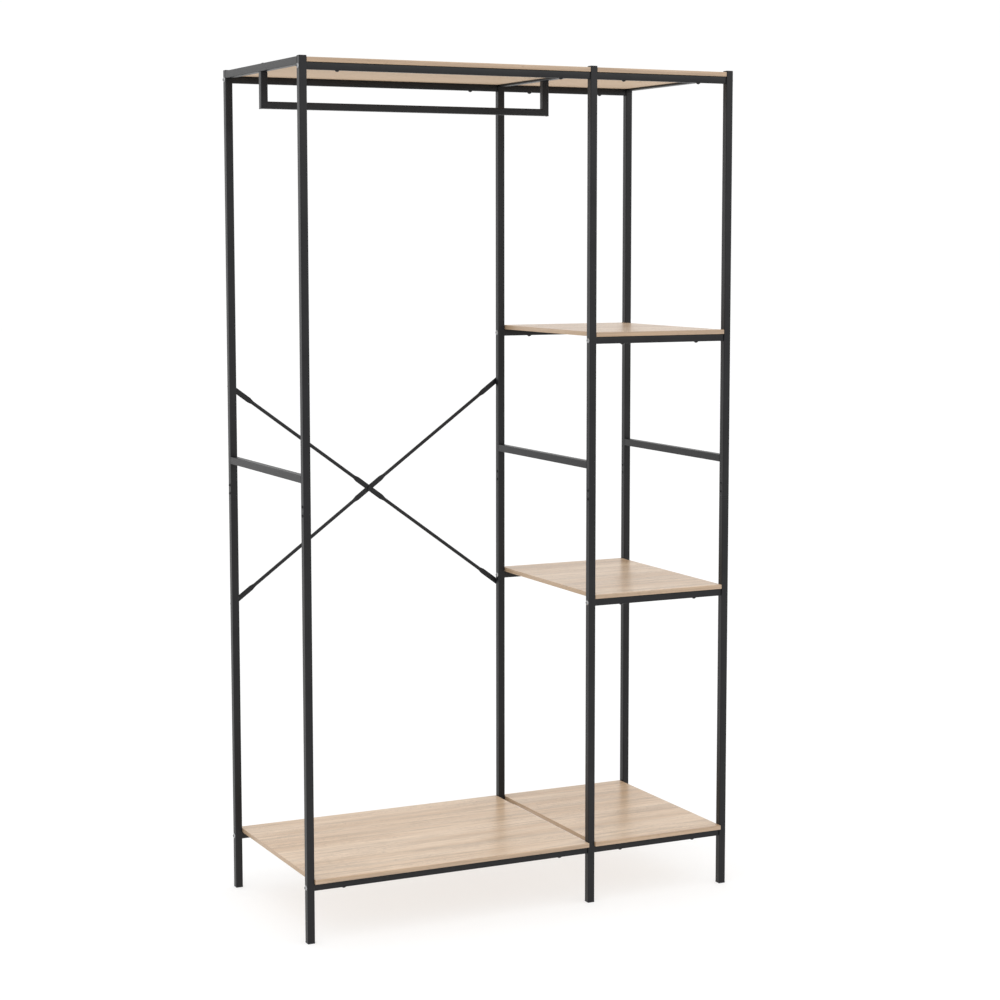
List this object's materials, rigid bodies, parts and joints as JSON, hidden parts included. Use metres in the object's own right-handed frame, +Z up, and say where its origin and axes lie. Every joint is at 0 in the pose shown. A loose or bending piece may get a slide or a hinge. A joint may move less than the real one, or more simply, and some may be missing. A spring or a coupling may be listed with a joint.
{
  "type": "open wardrobe",
  "caption": "Open clothes rack with a wide hanging bay, a crossed back brace and a narrow shelf bay, in black square tube with light oak boards.",
  "frame": {"origin": "on the floor, in the middle of the footprint's bounding box", "axes": "+X to the right seen from the front, along the long rails; -Y to the front; +Z up"},
  "size_m": [1.0074, 0.472, 1.8008],
  "materials": {
    "black_steel": "fine-textured matt black powder coat",
    "oak": "light oak faced board with fine grain, matt",
    "zinc": "zinc-plated bolts",
    "black_plastic": "matt black plastic"
  },
  "bodies": {
    "root": {"brace_centre_lower_bolt": "zinc", "brace_centre_upper_bolt": "zinc", "brace_crossing_bolt": "zinc", "brace_left_lower_bolt": "zinc", "brace_left_upper_bolt": "zinc", "centre_front_cap": "black_plastic", "centre_front_foot": "black_plastic", "centre_front_leg": "black_steel", "centre_front_upper_post": "black_steel", "centre_middle_side_rail": "black_steel", "centre_rear_cap": "black_plastic", "centre_rear_foot": "black_plastic", "centre_rear_leg": "black_steel", "centre_rear_upper_post": "black_steel", "centre_top_side_rail": "black_steel", "falling_brace_rod": "black_steel", "hanging_bar": "black_steel", "hanging_bar_left_drop": "black_steel", "hanging_bar_right_drop": "black_steel", "left_bottom_board": "oak", "left_bottom_front_rail": "black_steel", "left_bottom_rear_rail": "black_steel", "left_front_cap": "black_plastic", "left_front_foot": "black_plastic", "left_front_leg": "black_steel", "left_front_upper_post": "black_steel", "left_middle_side_rail": "black_steel", "left_rear_cap": "black_plastic", "left_rear_foot": "black_plastic", "left_rear_leg": "black_steel", "left_rear_upper_post": "black_steel", "left_top_board": "oak", "left_top_front_rail": "black_steel", "left_top_rear_rail": "black_steel", "left_top_side_rail": "black_steel", "right_bottom_board": "oak", "right_bottom_front_rail": "black_steel", "right_bottom_rear_rail": "black_steel", "right_front_cap": "black_plastic", "right_front_foot": "black_plastic", "right_front_leg": "black_steel", "right_front_upper_post": "black_steel", "right_lower_board": "oak", "right_lower_front_rail": "black_steel", "right_lower_rear_rail": "black_steel", "right_middle_side_rail": "black_steel", "right_rear_cap": "black_plastic", "right_rear_foot": "black_plastic", "right_rear_leg": "black_steel", "right_rear_upper_post": "black_steel", "right_top_board": "oak", "right_top_front_rail": "black_steel", "right_top_rear_rail": "black_steel", "right_top_side_rail": "black_steel", "right_upper_board": "oak", "right_upper_front_rail": "black_steel", "right_upper_rear_rail": "black_steel", "rising_brace_rod": "black_steel"}
  },
  "joints": []
}
